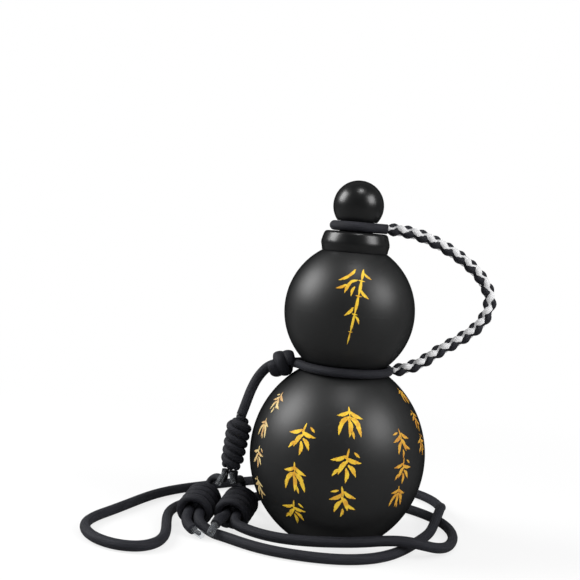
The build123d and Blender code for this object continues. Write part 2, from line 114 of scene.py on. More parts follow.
# Places of the strap's two wound knots and of the waist winding
LEFT_KNOT = (-0.0776, -0.0186, 0.0102)
RIGHT_KNOT = (-0.0562, -0.0190, 0.0102)
WAIST_KNOT = (-0.03235, 0.0, 0.09682)

# Degrees that the strap knots' cores turn sideways and rise, and that the waist knot's core falls
KNOT_TURN, KNOT_RISE, WAIST_FALL = 13.0, 15.0, 12.0

# Windings: radius of the centreline, turns, first angle, pitch, and the radius their ends tuck in to
STRAP_WINDING = (0.00825, 3.5, 200.0, 0.0047, 0.0046)
WAIST_WINDING = (0.00525, 1.5, 280.0, 0.0047, 0.0040)
STRAP_WINDING_WIDE, WAIST_WINDING_WIDE = 1.07, 1.7
# Points in each turn and past its ends, and the angle and power with which the ends tuck in
POINTS_PER_TURN = 16
TUCK_POINTS, TUCK_ANGLE, TUCK_POWER = 5, 112, 2.2

# Cord between the cords inside a strap knot: its diameter, and its start and end along the core
KNOT_FILLER = (0.0075, 0.002, 0.0150)

# Cord rings: the side of their leads, height, radius, reach, half the leads' spacing, first angle
WAIST_RING = (-1, 0.09732, 0.02552, 0.0300, 0.0026, 16.0)
STOPPER_RING = (1, 0.17775, 0.0127, 0.0172, 0.0029, 36.0)
# Steps round a ring, and where along a lead its second point is
RING_POINTS, LEAD_POINT_SHARE = 24, 0.4

# Snake knot: its ends, turns, first angle, half width and depth from top to bottom, inset and core
SENNIT_TOP = (-0.0562, -0.0080, 0.0646)
SENNIT_BOTTOM = (-0.0600, -0.0090, 0.0332)
SENNIT_TURNS, SENNIT_ANGLE = 3, 20
SENNIT_WIDE_TOP, SENNIT_WIDE_BOTTOM = 0.0052, 0.0042
SENNIT_DEEP_TOP, SENNIT_DEEP_BOTTOM = 0.0042, 0.0036
SENNIT_INSET, SENNIT_CORE = 0.0022, 0.0056
SENNIT_CORE_SHARES = (-0.02, 0.34, 0.66, 0.99)
# Share of its length in which the strands draw in at each end, and the share of their reach left there
SENNIT_END_SHARE, SENNIT_TUCK_SHARE = 0.06, 0.55

# Snake knot's clear sleeves from end to end
SENNIT_TIPS = {
    "left": ((-0.0626, -0.0126, 0.0328), (-0.0658, -0.0149, 0.0256)),
    "right": ((-0.0592, -0.0126, 0.0323), (-0.0570, -0.0146, 0.0274)),
}
# Cut ends inside them: diameter, start before the sleeve, and stop before its end
SENNIT_END, SENNIT_END_BEFORE, SENNIT_END_SHORT = 0.0020, 0.0018, 0.0008
# Cut ends inside the sleeves of the strap's tails: diameter and length
TAIL_END, TAIL_END_LENGTH = 0.0024, 0.0066
# Diameter of the strands between the snake knot and the strap
LINK_STRAND = 0.0042

# Distances between the rings of the tubes, and how long and how closed their rounded ends are
CORD_STEP, CORE_STEP, SENNIT_STEP, BRAID_STEP = 0.0012, 0.001, 0.0006, 0.0004
ROUNDING_SHARE, CLOSING_SHARE = 0.45, 0.85

# Braid: pitch, the strands' middle reach and its swing, and how far they bunch in each turn
BRAID_PITCH, BRAID_REACH, BRAID_SWING, BRAID_BUNCH = 0.0166, 0.0013, 0.00095, 0.34
# Length in which the strands draw in at each end, and the share of their reach left there
BRAID_END, BRAID_END_SHARE = 0.004, 0.45
# Degrees that the braid's sides lean from the front, one way and then the other, and where that changes
BRAID_LEAN, LEAN_START, LEAN_SPAN = 36.0, 0.44, 0.16
# White, then black: the way the strands turn, the sign of their swing, and how wide and thick they are
BRAID_STRANDS = ((1, 1, 1.22, 1.0), (-1, -1, 1.36, 1.12))

# The two bulbs' arcs: distance of the centre from the axis, its height, and the radius
LOWER_ARC = (-0.0067, 0.047, 0.057)
UPPER_ARC = (-0.0028, 0.1295, 0.040)
WAIST_HEIGHT = 0.097

# Places of the gold leaf sprigs: form, azimuth in degrees from the front, height, size
SPRIGS = {
    "gold_sprigs_front": [
        ("fan", 7.3, 0.0746, 1.15), ("cross", 5.9, 0.0525, 1.15), ("drop", 6.2, 0.0323, 1.1),
    ],
    "gold_sprigs_left": [
        ("cross", -24.3, 0.0634, 1.1), ("fan", -25.3, 0.0423, 1.1), ("cross", -27.5, 0.0220, 1.0),
    ],
    "gold_sprigs_far_left": [
        ("drop", -58.8, 0.0775, 0.8), ("fan", -60.2, 0.0631, 0.75), ("cross", -59.9, 0.0471, 0.8),
        ("drop", -60.8, 0.0290, 0.8),
    ],
    "gold_sprigs_right": [
        ("drop", 46.3, 0.0639, 0.95), ("cross", 46.0, 0.0492, 0.9), ("fan", 45.1, 0.0345, 0.85),
    ],
    "gold_sprigs_far_right": [
        ("fan", 75.4, 0.0858, 0.7), ("drop", 73.2, 0.0732, 0.75), ("cross", 71.7, 0.0605, 0.75),
    ],
    "gold_cane_upper": [("cane", 4.6, 0.1375, 1.0)],
}

# Strokes of each sprig: across and up in mm, angle in degrees, length and width in mm, and bow
STROKES = {
    "fan": [
        (-0.4, 4.4, 8, 5.2, 1.0, 0), (-3.0, 3.2, -66, 6.0, 1.9, 1), (2.6, 2.6, 60, 6.6, 2.0, -1),
        (-3.2, -0.6, -42, 7.8, 2.3, -1), (2.9, -0.8, 44, 8.0, 2.4, 1), (0.2, -3.2, 6, 8.2, 2.2, 1),
        (-4.6, -4.2, -22, 5.4, 1.7, -1), (4.6, -4.6, 30, 5.2, 1.7, 1), (1.8, -6.8, 14, 3.6, 1.2, 0),
    ],
    "cross": [
        (0.6, 4.6, -10, 5.4, 1.0, 0), (-3.4, 2.4, -70, 7.0, 2.0, 1), (3.2, 1.6, 72, 7.6, 2.1, -1),
        (-1.6, -1.2, -34, 7.4, 2.3, -1), (3.4, -2.6, 40, 6.4, 2.1, 1), (-4.4, -3.8, -48, 5.0, 1.7, -1),
        (0.8, -5.2, 4, 6.6, 2.0, 1), (5.0, 4.6, 50, 3.4, 1.2, 0),
    ],
    "drop": [
        (-0.6, 4.8, 12, 5.8, 1.1, 0), (2.8, 3.0, 58, 6.8, 2.0, -1), (-3.2, 1.8, -56, 7.0, 2.1, 1),
        (1.4, -1.2, 28, 8.0, 2.3, 1), (-2.4, -2.8, -26, 7.6, 2.2, -1), (4.2, -3.4, 52, 5.0, 1.7, -1),
        (-4.4, 5.0, -74, 3.8, 1.3, 0), (0.4, -6.8, -4, 4.6, 1.5, 1),
    ],
    "cane": [
        (3.35, 17.2, -8, 9.0, 1.8, 0), (2.05, 8.3, -8, 9.6, 1.75, 0), (0.65, -1.3, -8, 10.4, 1.7, 0),
        (-0.85, -11.8, -8, 11.4, 1.5, 0), (-2.3, -22.0, -8, 9.6, 1.0, 0),
        (2.75, 12.9, 82, 3.8, 0.9, 0), (1.4, 3.6, 82, 3.4, 0.85, 0), (-0.1, -6.6, 82, 3.0, 0.8, 0),
        (-1.6, -17.3, 82, 2.5, 0.7, 0),
        (-3.4, 17.6, -38, 8.4, 2.1, 1), (-6.6, 14.8, -58, 8.0, 2.1, 1), (-2.6, 12.0, -64, 6.2, 1.8, -1),
        (-5.0, 8.8, -30, 7.6, 2.1, -1), (-8.6, 8.6, -66, 6.0, 1.8, 1), (-2.2, 6.4, -20, 5.6, 1.6, -1),
        (6.2, 16.4, 48, 5.6, 1.6, -1), (4.4, 4.6, 44, 6.2, 1.8, -1), (-3.0, -5.4, -42, 6.4, 1.8, 1),
        (1.9, -9.6, 30, 4.8, 1.4, 1),
    ],
}

# Bands of a brush stroke a unit long: from, to, width, shift with the bow, and shift upwards
STROKE_BANDS = (
    (-0.6, -0.43, 0.25, -0.34, -0.07), (-0.43, -0.24, 0.72, -0.13, -0.01), (-0.24, -0.08, 0.97, 0.03, 0.0),
    (-0.08, 0.1, 1.0, 0.10, 0.0), (0.1, 0.3, 1.0, 0.06, 0.0), (0.3, 0.6, 0.82, -0.12, 0.04),
)
# Height of the strokes off the bulb before they are laid on it
STROKE_LIFT = 0.0005

# Camera: place, angles in degrees, focal length and picture width in pixels, and sensor width in mm
CAMERA_PLACE = (0.0, -0.6, 0.18)
CAMERA_YAW, CAMERA_PITCH, CAMERA_ROLL = -3.328, -3.943, 4.78
FOCAL_LENGTH, PICTURE_WIDTH, SENSOR_WIDTH = 1052.6, 580.0, 36.0

# Lamps: power in watts, direction and distance from the aim, shape, width and height
LAMPS = {
    "left_softbox": (11.0, (-0.85, -0.02, 0.53), 1.1, "RECTANGLE", 0.55, 0.6),
    "right_softbox": (7.6, (0.76, -0.38, 0.53), 1.1, "RECTANGLE", 0.55, 0.55),
    "top_lamp": (2.1, (0.08, -0.29, 0.95), 1.0, "DISK", 0.2, 0.2),
}
LAMP_AIM = (0.0, 0.0, 0.1)
FLOOR_WIDTH, FLOOR_DROP = 9.0, 0.0002


class Wire:
    """A node's output whose arithmetic adds Math nodes to its finish."""

    def __init__(self, finish, socket):
        self.finish = finish
        self.socket = socket

    def __add__(self, other):
        return self.finish.math("ADD", self, other)

    def __sub__(self, other):
        return self.finish.math("SUBTRACT", self, other)

    def __rsub__(self, other):
        return self.finish.math("SUBTRACT", other, self)

    def __mul__(self, other):
        return self.finish.math("MULTIPLY", self, other)

    def __truediv__(self, other):
        return self.finish.math("DIVIDE", self, other)

    def __rtruediv__(self, other):
        return self.finish.math("DIVIDE", other, self)

    def __pow__(self, other):
        return self.finish.math("POWER", self, other)

    __radd__ = __add__
    __rmul__ = __mul__


class Finish:
    """The node tree of one material or of the world."""

    def __init__(self, owner):
        self.owner = owner
        owner.use_nodes = True
        self.tree = owner.node_tree
        self.tree.nodes.clear()

    def add(self, kind, settings=None, inputs=None, output=0):
        """Add a node: its settings first, then the values or wires of its sockets."""
        node = self.tree.nodes.new(kind)
        for name, value in (settings or {}).items():
            setattr(node, name, value)
        for name, value in (inputs or {}).items():
            socket = node.inputs[name]
            if isinstance(value, Wire):
                self.tree.links.new(value.socket, socket)
            elif hasattr(value, "__len__") and socket.type == "RGBA":
                socket.default_value = (*value[:3], 1.0)
            else:
                socket.default_value = value
        return Wire(self, node.outputs[output]) if len(node.outputs) else node

    def math(self, operation, first, second=0.0):
        return self.add("ShaderNodeMath", {"operation": operation}, {0: first, 1: second})

    def blend(self, share, first, second):
        """Mix two colours."""
        return self.add("ShaderNodeMix", {"data_type": "RGBA"}, {0: share, 6: first, 7: second}, 2)

    def step(self, value, low, high):
        """0 below low and 1 above high, smooth between them."""
        inputs = {"Value": value, "From Min": low, "From Max": high}
        return self.add("ShaderNodeMapRange", {"interpolation_type": "SMOOTHSTEP"}, inputs)

    def noise(self, place, scale, detail=2.0, roughness=0.5):
        inputs = {"Vector": place, "Scale": scale, "Detail": detail, "Roughness": roughness}
        return self.add("ShaderNodeTexNoise", {}, inputs)

    def place(self):
        """Object coordinates, in metres."""
        return self.add("ShaderNodeTexCoord", {}, {}, "Object")

    def part(self, vector, number):
        """One of a vector's three numbers."""
        return self.add("ShaderNodeSeparateXYZ", {}, {0: vector}, number)

    def weave(self):
        """Turns round a cord and metres along it, from its own UV map."""
        uv = self.add("ShaderNodeUVMap", {"uv_map": "weave"})
        return self.part(uv, 0), self.part(uv, 1)

    def ray(self, kind):
        """1 for one kind of ray, such as Camera, and 0 for the others."""
        return self.add("ShaderNodeLightPath", {}, {}, f"Is {kind} Ray")

    def bump(self, height, strength, distance):
        inputs = {"Height": height, "Strength": strength, "Distance": distance}
        return self.add("ShaderNodeBump", {}, inputs)

    def surface(self, **inputs):
        """Principled shader whose sockets are named with underscores for spaces."""
        named = {name.replace("_", " "): value for name, value in inputs.items()}
        return self.add("ShaderNodeBsdfPrincipled", {}, named)

    def finish(self, shader, kind="ShaderNodeOutputMaterial"):
        self.add(kind, {}, {"Surface": shader})
        return self.owner


def new_finish(name):
    return Finish(bpy.data.materials.new(name))


def colour_property(name, description, default):
    return bpy.props.FloatVectorProperty(
        name=name, description=description, default=default, subtype="COLOR", size=3, min=0, max=1,
    )


def length_property(name, description, default, low, high):
    return bpy.props.FloatProperty(
        name=name, description=description, default=default, min=low, max=high,
        subtype="DISTANCE", unit="LENGTH",
    )


class BottleColours(bpy.types.PropertyGroup):
    """Colours that a user may change."""

    body: colour_property("Body", "Colour of the fired black body", (0.0078, 0.0082, 0.0084))
    gold: colour_property("Gold", "Colour of the leaves painted at the front", (0.86, 0.58, 0.03))
    # Painted light and shade: the far left leaves take the front gold painted paler, the right leaves take it
    # painted deeper
    lit_pale_gold: colour_property("Pale gold", "Colour of the leaves at the far left", (0.70, 0.55, 0.24))
    shaded_deep_gold: colour_property("Deep gold", "Colour of the leaves at the right", (0.62, 0.33, 0.022))
    cord: colour_property("Cord", "Colour of the black cord", (0.0105, 0.011, 0.0155))
    white_cord: colour_property("White cord", "Colour of the tether's white strands", (0.82, 0.82, 0.83))


class BottleSizes(bpy.types.PropertyGroup):
    """Sizes of the cords and the paint that a user may change."""

    cord: length_property("Cord", "Diameter of the strap and hanger cord", 0.0058, 0.004, 0.007)
    waist_cord: length_property("Waist cord", "Diameter of the cord round the waist", 0.005, 0.003, 0.006)
    stopper_cord: length_property(
        "Stopper cord", "Diameter of the cord in the stopper's groove", 0.0056, 0.003, 0.006,
    )
    winding: length_property("Winding", "Diameter of the cord wound round the knots", 0.0043, 0.003, 0.006)
    strand: length_property("Braid strand", "Diameter of one strand of the tether", 0.0031, 0.002, 0.004)
    sennit_strand: length_property(
        "Sennit strand", "Diameter of the cord in the snake knot", 0.0047, 0.003, 0.006,
    )
    paint: length_property("Paint", "How far the gold paint stands on the body", 0.00012, 0.00005, 0.0003)


def rim_matt(finish, skin, base, relief, low, high, share):
    """The skin, turning matt towards its edges as seen."""
    matt = finish.surface(Base_Color=base, Roughness=1.0, Normal=relief, Specular_IOR_Level=0.0)
    facing = finish.add("ShaderNodeLayerWeight", {}, {"Blend": 0.5}, "Facing")
    rim = finish.step(facing, low, high)
    return finish.finish(finish.add("ShaderNodeMixShader", {}, {0: rim * share, 1: skin, 2: matt}))


def body_finish(colours):
    """Matt black fired body: soft sheen, fine grain and a little unevenness."""
    finish = new_finish("matt_black_stoneware")
    place = finish.place()
    cloud = finish.noise(place, 45.0, 3.0)
    grain = finish.noise(place, 1500.0, 2.0, 0.6)
    speck = finish.step(finish.noise(place, 620.0, 1.0), 0.69, 0.75)
    base = finish.blend(cloud * 0.5, colours.body, [value * 1.5 for value in colours.body])
    base = finish.blend(speck * 0.3, base, (0.026, 0.027, 0.027))
    rough = cloud * 0.05 + grain * 0.04 + 0.42
    relief = finish.bump(grain + cloud * 1.5, 0.1, 0.0001)
    skin = finish.surface(Base_Color=base, Roughness=rough, Normal=relief, Specular_IOR_Level=0.6)
    return rim_matt(finish, skin, base, relief, 0.42, 0.86, 0.93)


def glaze_finish(colours):
    """Smooth black glaze of the stopper."""
    finish = new_finish("black_glaze")
    place = finish.place()
    cloud = finish.noise(place, 120.0, 2.0)
    dark, light = ([value * share for value in colours.body] for share in (0.7, 1.3))
    base = finish.blend(cloud * 0.6, dark, light)
    rough = cloud * 0.06 + 0.27
    relief = finish.bump(finish.noise(place, 400.0, 2.0), 0.04, 0.0002)
    skin = finish.surface(Base_Color=base, Roughness=rough, Normal=relief, Specular_IOR_Level=0.5)
    return rim_matt(finish, skin, base, relief, 0.45, 0.82, 0.95)


def silicone_finish():
    """Pale translucent silicone of the seal."""
    finish = new_finish("pale_silicone")
    cloud = finish.noise(finish.place(), 300.0, 2.0)
    base = finish.blend(cloud, (0.50, 0.50, 0.48), (0.62, 0.62, 0.60))
    rough = cloud * 0.1 + 0.42
    relief = finish.bump(cloud, 0.1, 0.0001)
    skin = finish.surface(Base_Color=base, Roughness=rough, Normal=relief, Subsurface_Weight=0.15)
    return finish.finish(skin)


def braided_finish(name, dark, light, carriers, pitch, depth):
    """Fine tubular braid: two families of yarns that cross round the cord, with fibres drawn along it, and
    painted shade between the yarns and painted highlight on their crowns.
    """
    finish = new_finish(name)
    around, along = finish.weave()
    right = around * float(carriers) + along / pitch
    left = around * float(carriers) - along / pitch
    # An even 1000 keeps the remainder's number above zero
    over = finish.math("MODULO", finish.math("FLOOR", right) + finish.math("FLOOR", left) + 1000.0, 2.0)
    right_part = finish.math("FRACT", right) * 2.0 - 1.0
    left_part = finish.math("FRACT", left) * 2.0 - 1.0
    right_yarn = (1.0 - right_part * right_part) * (1.0 - left_part ** 4.0 * 0.35)
    left_yarn = (1.0 - left_part * left_part) * (1.0 - right_part ** 4.0 * 0.35)
    yarn = right_yarn * over + left_yarn * (1.0 - over)
    lengthwise = {"X": around * 40.0, "Y": along * 110.0, "Z": around * 3.0}
    drawn = finish.add("ShaderNodeCombineXYZ", {}, lengthwise)
    streak = finish.noise(drawn, 1.0, 3.0, 0.65)
    fibre = finish.noise(finish.place(), 900.0, 3.0, 0.7)
    worn = finish.noise(finish.place(), 60.0, 2.0)
    # Painted shade and highlight: darker in the grooves between the yarns and lighter on their crowns, mixed
    # with the fibre streaks and a random tone
    shade = finish.step(yarn, 0.1, 0.9) * 0.4 + finish.step(streak, 0.38, 0.66) * 0.45 + worn * 0.15
    base = finish.blend(shade, dark, light)
    relief = finish.bump(yarn + fibre * 0.3 + streak * 0.5, 0.6, depth)
    rough = 0.66 - yarn * 0.1 + fibre * 0.1
    return finish.finish(
        finish.surface(
            Base_Color=base, Roughness=rough, Normal=relief,
            Specular_IOR_Level=0.3, Sheen_Weight=0.03, Sheen_Roughness=0.4,
        )
    )


def paint_finish(name, bright):
    """Brushed gold paint, deeper and more orange where it is thin."""
    finish = new_finish(name)
    place = finish.place()
    brushed = finish.noise(place, 260.0, 3.0, 0.6)
    thin = finish.noise(place, 700.0, 2.0)
    share = finish.step(brushed, 0.32, 0.6)
    base = finish.blend(share, [bright[0] * 0.80, bright[1] * 0.58, bright[2] * 0.5], bright)
    base = finish.blend(finish.step(thin, 0.66, 0.74) * 0.45, base, [value * 0.35 for value in bright])
    relief = finish.bump(brushed + thin * 0.4, 0.25, 0.00012)
    rough, metal = brushed * 0.2 + 0.45, brushed * 0.1 + 0.02
    return finish.finish(finish.surface(Base_Color=base, Roughness=rough, Metallic=metal, Normal=relief))


def sleeve_finish():
    """Clear shrink sleeve: see-through, with a thin bright gloss at its edges, where a pale colour is shown
    as a painted highlight.
    """
    finish = new_finish("clear_sleeve")
    cloud = finish.noise(finish.place(), 500.0, 2.0)
    relief = finish.bump(cloud, 0.25, 0.0002)
    # Painted highlight: this surface's pale base colour shows only towards the edges, together with its real
    # gloss
    gloss_and_painted_glint = finish.surface(Base_Color=(0.62, 0.64, 0.66), Roughness=cloud * 0.1 + 0.06, Normal=relief)
    clear = finish.add("ShaderNodeBsdfTransparent", {}, {"Color": (0.93, 0.94, 0.95)})
    facing = finish.add("ShaderNodeLayerWeight", {}, {"Blend": 0.35}, "Facing")
    shown = finish.step(facing, 0.45, 0.85)
    share = shown * 0.75 + 0.05
    return finish.finish(finish.add("ShaderNodeMixShader", {}, {0: share, 1: clear, 2: gloss_and_painted_glint}))


def route_line(points, resolution=12):
    """Points along the smooth spline that has the route's points as its control points."""
    curve = bpy.data.curves.new("route", "CURVE")
    curve.dimensions = "3D"
    curve.resolution_u = resolution
    spline = curve.splines.new("NURBS")
    spline.points.add(len(points) - 1)
    for control, point in zip(spline.points, points):
        control.co = (*point, 1.0)
    spline.order_u = 3
    spline.use_endpoint_u = True
    spline.resolution_u = resolution
    holder = bpy.data.objects.new("route", curve)
    line = bpy.data.meshes.new_from_object(holder)
    read = np.array([vertex.co for vertex in line.vertices], float)
    bpy.data.meshes.remove(line)
    bpy.data.objects.remove(holder)
    bpy.data.curves.remove(curve)
    return read


def unit(vectors):
    return vectors / np.maximum(np.linalg.norm(vectors, axis=-1, keepdims=True), 1e-12)


def run_lengths(line):
    """Length along the line at each of its points."""
    return np.concatenate([[0.0], np.cumsum(np.linalg.norm(np.diff(line, axis=0), axis=1))])


def headings(line):
    return unit(np.gradient(line, axis=0))


def carried_sides(line):
    """A side direction at each point, carried along the line without twisting."""
    ahead = headings(line)
    start = np.array((0.0, 0.0, 1.0)) if abs(ahead[0][2]) < 0.8 else np.array((1.0, 0.0, 0.0))
    sides = [unit(start - ahead[0] * (start @ ahead[0]))]
    for heading in ahead[1:]:
        sides.append(unit(sides[-1] - heading * (sides[-1] @ heading)))
    return np.array(sides)


def cord_shell(line, diameter, count=20, round_start=False, round_end=False, widest=None, wide=1.0):
    """Vertices, faces and weave UVs of a tube about a line, round or wider in the widest directions."""
    sides = carried_sides(line)
    ahead = headings(line)
    third = np.cross(ahead, sides)
    along = run_lengths(line)
    size = np.full(len(line), diameter / 2)
    for wanted, distance in ((round_start, along), (round_end, along[-1] - along)):
        if wanted:
            near = np.clip(1 - distance / (diameter * ROUNDING_SHARE), 0, 1)
            size = size * np.sqrt(1 - CLOSING_SHARE * near ** 2)
    angles = np.linspace(0, 2 * np.pi, count, endpoint=False)
    rings = (
        line[:, None]
        + sides[:, None] * (np.cos(angles)[None, :, None] * size[:, None, None])
        + third[:, None] * (np.sin(angles)[None, :, None] * size[:, None, None])
    )
    if widest is not None:
        widest = np.broadcast_to(widest, line.shape)
        flat = unit(widest - ahead * np.sum(widest * ahead, axis=1, keepdims=True))[:, None]
        from_line = rings - line[:, None]
        rings = rings + flat * (np.sum(from_line * flat, axis=2, keepdims=True) * (wide - 1))
    vertices = rings.reshape(-1, 3)
    faces, uvs = [], []
    for ring in range(len(line) - 1):
        for step in range(count):
            nearby = (step + 1) % count
            first, second = ring * count, (ring + 1) * count
            faces.append((first + step, first + nearby, second + nearby, second + step))
            left, right = step / count, (step + 1) / count
            near, far = along[ring], along[ring + 1]
            uvs += [(left, near), (right, near), (right, far), (left, far)]
    last = (len(line) - 1) * count
    faces.append(tuple(range(count))[::-1])
    faces.append(tuple(last + step for step in range(count)))
    uvs += [(0.5, along[0])] * count + [(0.5, along[-1])] * count
    return vertices, faces, uvs


def cord_object(name, shells, finishes, body="bottle"):
    """One mesh object from tube shells, each with the number of its finish."""
    vertices, faces, uvs, slots, base = [], [], [], [], 0
    for (points, quads, places), number in shells:
        vertices.append(points)
        faces += [tuple(base + corner for corner in face) for face in quads]
        uvs += places
        slots += [number] * len(quads)
        base += len(points)
    mesh = bpy.data.meshes.new(name)
    mesh.from_pydata(np.concatenate(vertices).tolist(), [], faces)
    layer = mesh.uv_layers.new(name="weave")
    layer.data.foreach_set("uv", np.array(uvs, float).ravel())
    mesh.polygons.foreach_set("material_index", slots)
    mesh.polygons.foreach_set("use_smooth", [len(face) == 4 for face in faces])
    for finish in finishes:
        mesh.materials.append(finish)
    mesh.update()
    piece = bpy.data.objects.new(name, mesh)
    bpy.context.scene.collection.objects.link(piece)
    if body:
        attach(piece, body)
    return piece


def even_line(line, spacing):
    """The same line with points a spacing apart."""
    along = run_lengths(line)
    places = np.linspace(0, along[-1], max(8, int(along[-1] / spacing)))
    return np.column_stack([np.interp(places, along, line[:, axis]) for axis in range(3)])


def plain_cord(name, points, diameter, finish, body="bottle", **ends):
    """A cord of one diameter along the smooth spline of a route."""
    line = even_line(route_line(points), CORD_STEP)
    piece = cord_object(name, [(cord_shell(line, diameter, **ends), 0)], [finish], body)
    return piece, line


def shared(make, name, *values):
    """The material of that name, made the first time it is asked for."""
    return bpy.data.materials.get(name) or make(name, *values)


def black_cord_finish():
    cord = bpy.context.scene.bottle_colours.cord
    # Darker and lighter tones of the cord, between which the braid paints its shade and highlights, its
    # streaks and a random tone
    dark, light = ([value * share for value in cord] for share in (0.5, 1.9))
    return shared(braided_finish, "fine_black_braid", dark, light, 14, 0.0011, 0.00022)


def white_cord_finish():
    cord = bpy.context.scene.bottle_colours.white_cord
    # Darker and lighter tones of the white cord, between which the braid paints its shade and highlights, its
    # streaks and a random tone
    dark = [value * 0.62 for value in cord]
    return shared(braided_finish, "fine_white_braid", dark, cord, 10, 0.0009, 0.00007)


def dress(node, finish):
    """Give a carried-over solid its finish."""
    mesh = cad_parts[node].data
    mesh.materials.clear()
    mesh.materials.append(finish)


def knot_axes(place):
    """Origin, across, up and core directions of one of the strap's knots."""
    turn, tilt = math.radians(KNOT_TURN), math.radians(KNOT_RISE)
    core = np.array((math.sin(turn) * math.cos(tilt), math.cos(turn) * math.cos(tilt), math.sin(tilt)))
    across = np.array((math.cos(turn), -math.sin(turn), 0.0))
    return np.array(place), across, np.cross(core, across), core


def control_radius(radius, turn):
    """Distance of control points a turn apart whose spline runs at the radius."""
    return radius / (0.5 + 0.5 * math.cos(turn)) ** 0.5


def wound_route(axes, radius, turns, phase, pitch, tuck):
    """Control points of a cord wound round a core, with both ends tucked in between the core's cords."""
    origin, across, up, core = axes
    rise = pitch / (2 * math.pi)
    outwards = control_radius(radius, 2 * math.pi / POINTS_PER_TURN)
    first, last = math.radians(phase), math.radians(phase + turns * 360)
    points = []
    for step in range(-TUCK_POINTS, round(turns * POINTS_PER_TURN) + TUCK_POINTS + 1):
        angle = first + step * 2 * math.pi / POINTS_PER_TURN
        beyond = max(first - angle, angle - last, 0.0) / math.radians(TUCK_ANGLE)
        reach = outwards + (tuck - outwards) * min(beyond, 1.0) ** TUCK_POWER
        place = origin + across * (reach * math.cos(angle)) + up * (reach * math.sin(angle))
        points.append(tuple(place + core * (rise * (angle - first))))
    return points


def winding_object(name, axes, route, wide, filler=None):
    """A wound cord whose turns are pressed flat on each other, and the filler between the cords inside."""
    line = even_line(route_line(route), CORD_STEP)
    shell = cord_shell(line, bpy.context.scene.bottle_sizes.winding, 20, True, True, axes[3], wide)
    shells = [(shell, 0)]
    if filler:
        diameter, start, end = filler
        inside = np.linspace(axes[0] + axes[3] * start, axes[0] + axes[3] * end, 12)
        shells.append((cord_shell(inside, diameter, 16, True, True), 0))
    return cord_object(name, shells, [black_cord_finish()])


class BottleOperator:
    """What the bottle's operators share."""

    bl_options = {"REGISTER", "UNDO"}


class BOTTLE_OT_camera(BottleOperator, bpy.types.Operator):
    """Place the camera in front of the bottle, a little below the stopper's ball and looking down"""

    bl_idname = "bottle.camera"
    bl_label = "Camera"

    def execute(self, context):
        yaw, pitch, roll = (math.radians(angle) for angle in (CAMERA_YAW, CAMERA_PITCH, CAMERA_ROLL))
        ahead = Vector((math.sin(yaw) * math.cos(pitch), math.cos(yaw) * math.cos(pitch), math.sin(pitch)))
        right = Vector((math.cos(yaw), -math.sin(yaw), 0.0))
        above = right.cross(ahead)
        across = right * math.cos(roll) + above * math.sin(roll)
        upwards = above * math.cos(roll) - right * math.sin(roll)
        data = bpy.data.cameras.new("camera")
        data.sensor_width = SENSOR_WIDTH
        data.lens = FOCAL_LENGTH * SENSOR_WIDTH / PICTURE_WIDTH
        camera = bpy.data.objects.new("camera", data)
        context.scene.collection.objects.link(camera)
        turn = Matrix((across, upwards, -ahead)).transposed().to_4x4()
        camera.matrix_world = Matrix.Translation(CAMERA_PLACE) @ turn
        context.scene.camera = camera
        return {"FINISHED"}


class BOTTLE_OT_strap(BottleOperator, bpy.types.Operator):
    """Make the strap's two cords, its wound knots and its cut ends"""

    bl_idname = "bottle.strap"
    bl_label = "Strap"

    def execute(self, context):
        sizes = context.scene.bottle_sizes
        finish = black_cord_finish()
        for side, node, route, tail, knot, length in (
            ("left", "strap_outer", OUTER_STRAP, LEFT_TAIL, LEFT_KNOT, 0.744),
            ("right", "strap_inner", INNER_STRAP, RIGHT_TAIL, RIGHT_KNOT, 0.389),
        ):
            cord, line = plain_cord(node + "_cord", route, sizes.cord, finish)
            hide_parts(node)
            axes = knot_axes(knot)
            wound = wound_route(axes, *STRAP_WINDING)
            name = f"strap_knot_{side}"
            winding = winding_object(name + "_winding", axes, wound, STRAP_WINDING_WIDE, KNOT_FILLER)
            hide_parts(name)
            end, _ = plain_cord(f"tail_{side}_cord", tail, sizes.cord, finish)
            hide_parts("tail_" + side)
            before, last = np.array(tail[-2]), np.array(tail[-1])
            ahead = unit(last - before)
            inside = [tuple(last + ahead * share * TAIL_END_LENGTH) for share in (0.0, 0.3, 0.7, 1.0)]
            core, _ = plain_cord(f"tail_{side}_end", inside, TAIL_END, finish, round_end=True)
        return {"FINISHED"}


def loop_route(side, height, radius, reach, lead_offset, first_angle):
    """Control points of a cord ring whose two ends leave side by side towards +X (1) or -X (-1)."""
    span = 2 * math.pi - 2 * math.radians(first_angle)
    outwards = control_radius(radius, span / RING_POINTS)
    lead = reach - radius
    start = [(side * reach, lead_offset), (side * (reach - lead * LEAD_POINT_SHARE), lead_offset)]
    angles = [math.radians(first_angle) + span * step / RING_POINTS for step in range(RING_POINTS + 1)]
    ring = [(side * outwards * math.cos(angle), outwards * math.sin(angle)) for angle in angles]
    back = [(x, -y) for x, y in reversed(start)]
    return [(x, y, height) for x, y in start + ring + back]


class BOTTLE_OT_loops(BottleOperator, bpy.types.Operator):
    """Make the cord rings round the waist and round the stopper's groove, and the waist knot"""

    bl_idname = "bottle.loops"
    bl_label = "Cord rings"

    def execute(self, context):
        sizes = context.scene.bottle_sizes
        finish = black_cord_finish()
        waist, _ = plain_cord("waist_ring", loop_route(*WAIST_RING), sizes.waist_cord, finish)
        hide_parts("waist_loop")
        ring = loop_route(*STOPPER_RING)
        cap, _ = plain_cord("stopper_ring", ring, sizes.stopper_cord, finish, "cap_cord")
        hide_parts("stopper_loop")
        fall = math.radians(WAIST_FALL)
        core, across = np.array((-math.cos(fall), 0.0, -math.sin(fall))), np.array((0.0, 1.0, 0.0))
        axes = np.array(WAIST_KNOT), across, np.cross(core, across), core
        wound = wound_route(axes, *WAIST_WINDING)
        knot = winding_object("waist_winding", axes, wound, WAIST_WINDING_WIDE)
        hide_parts("waist_knot")
        return {"FINISHED"}


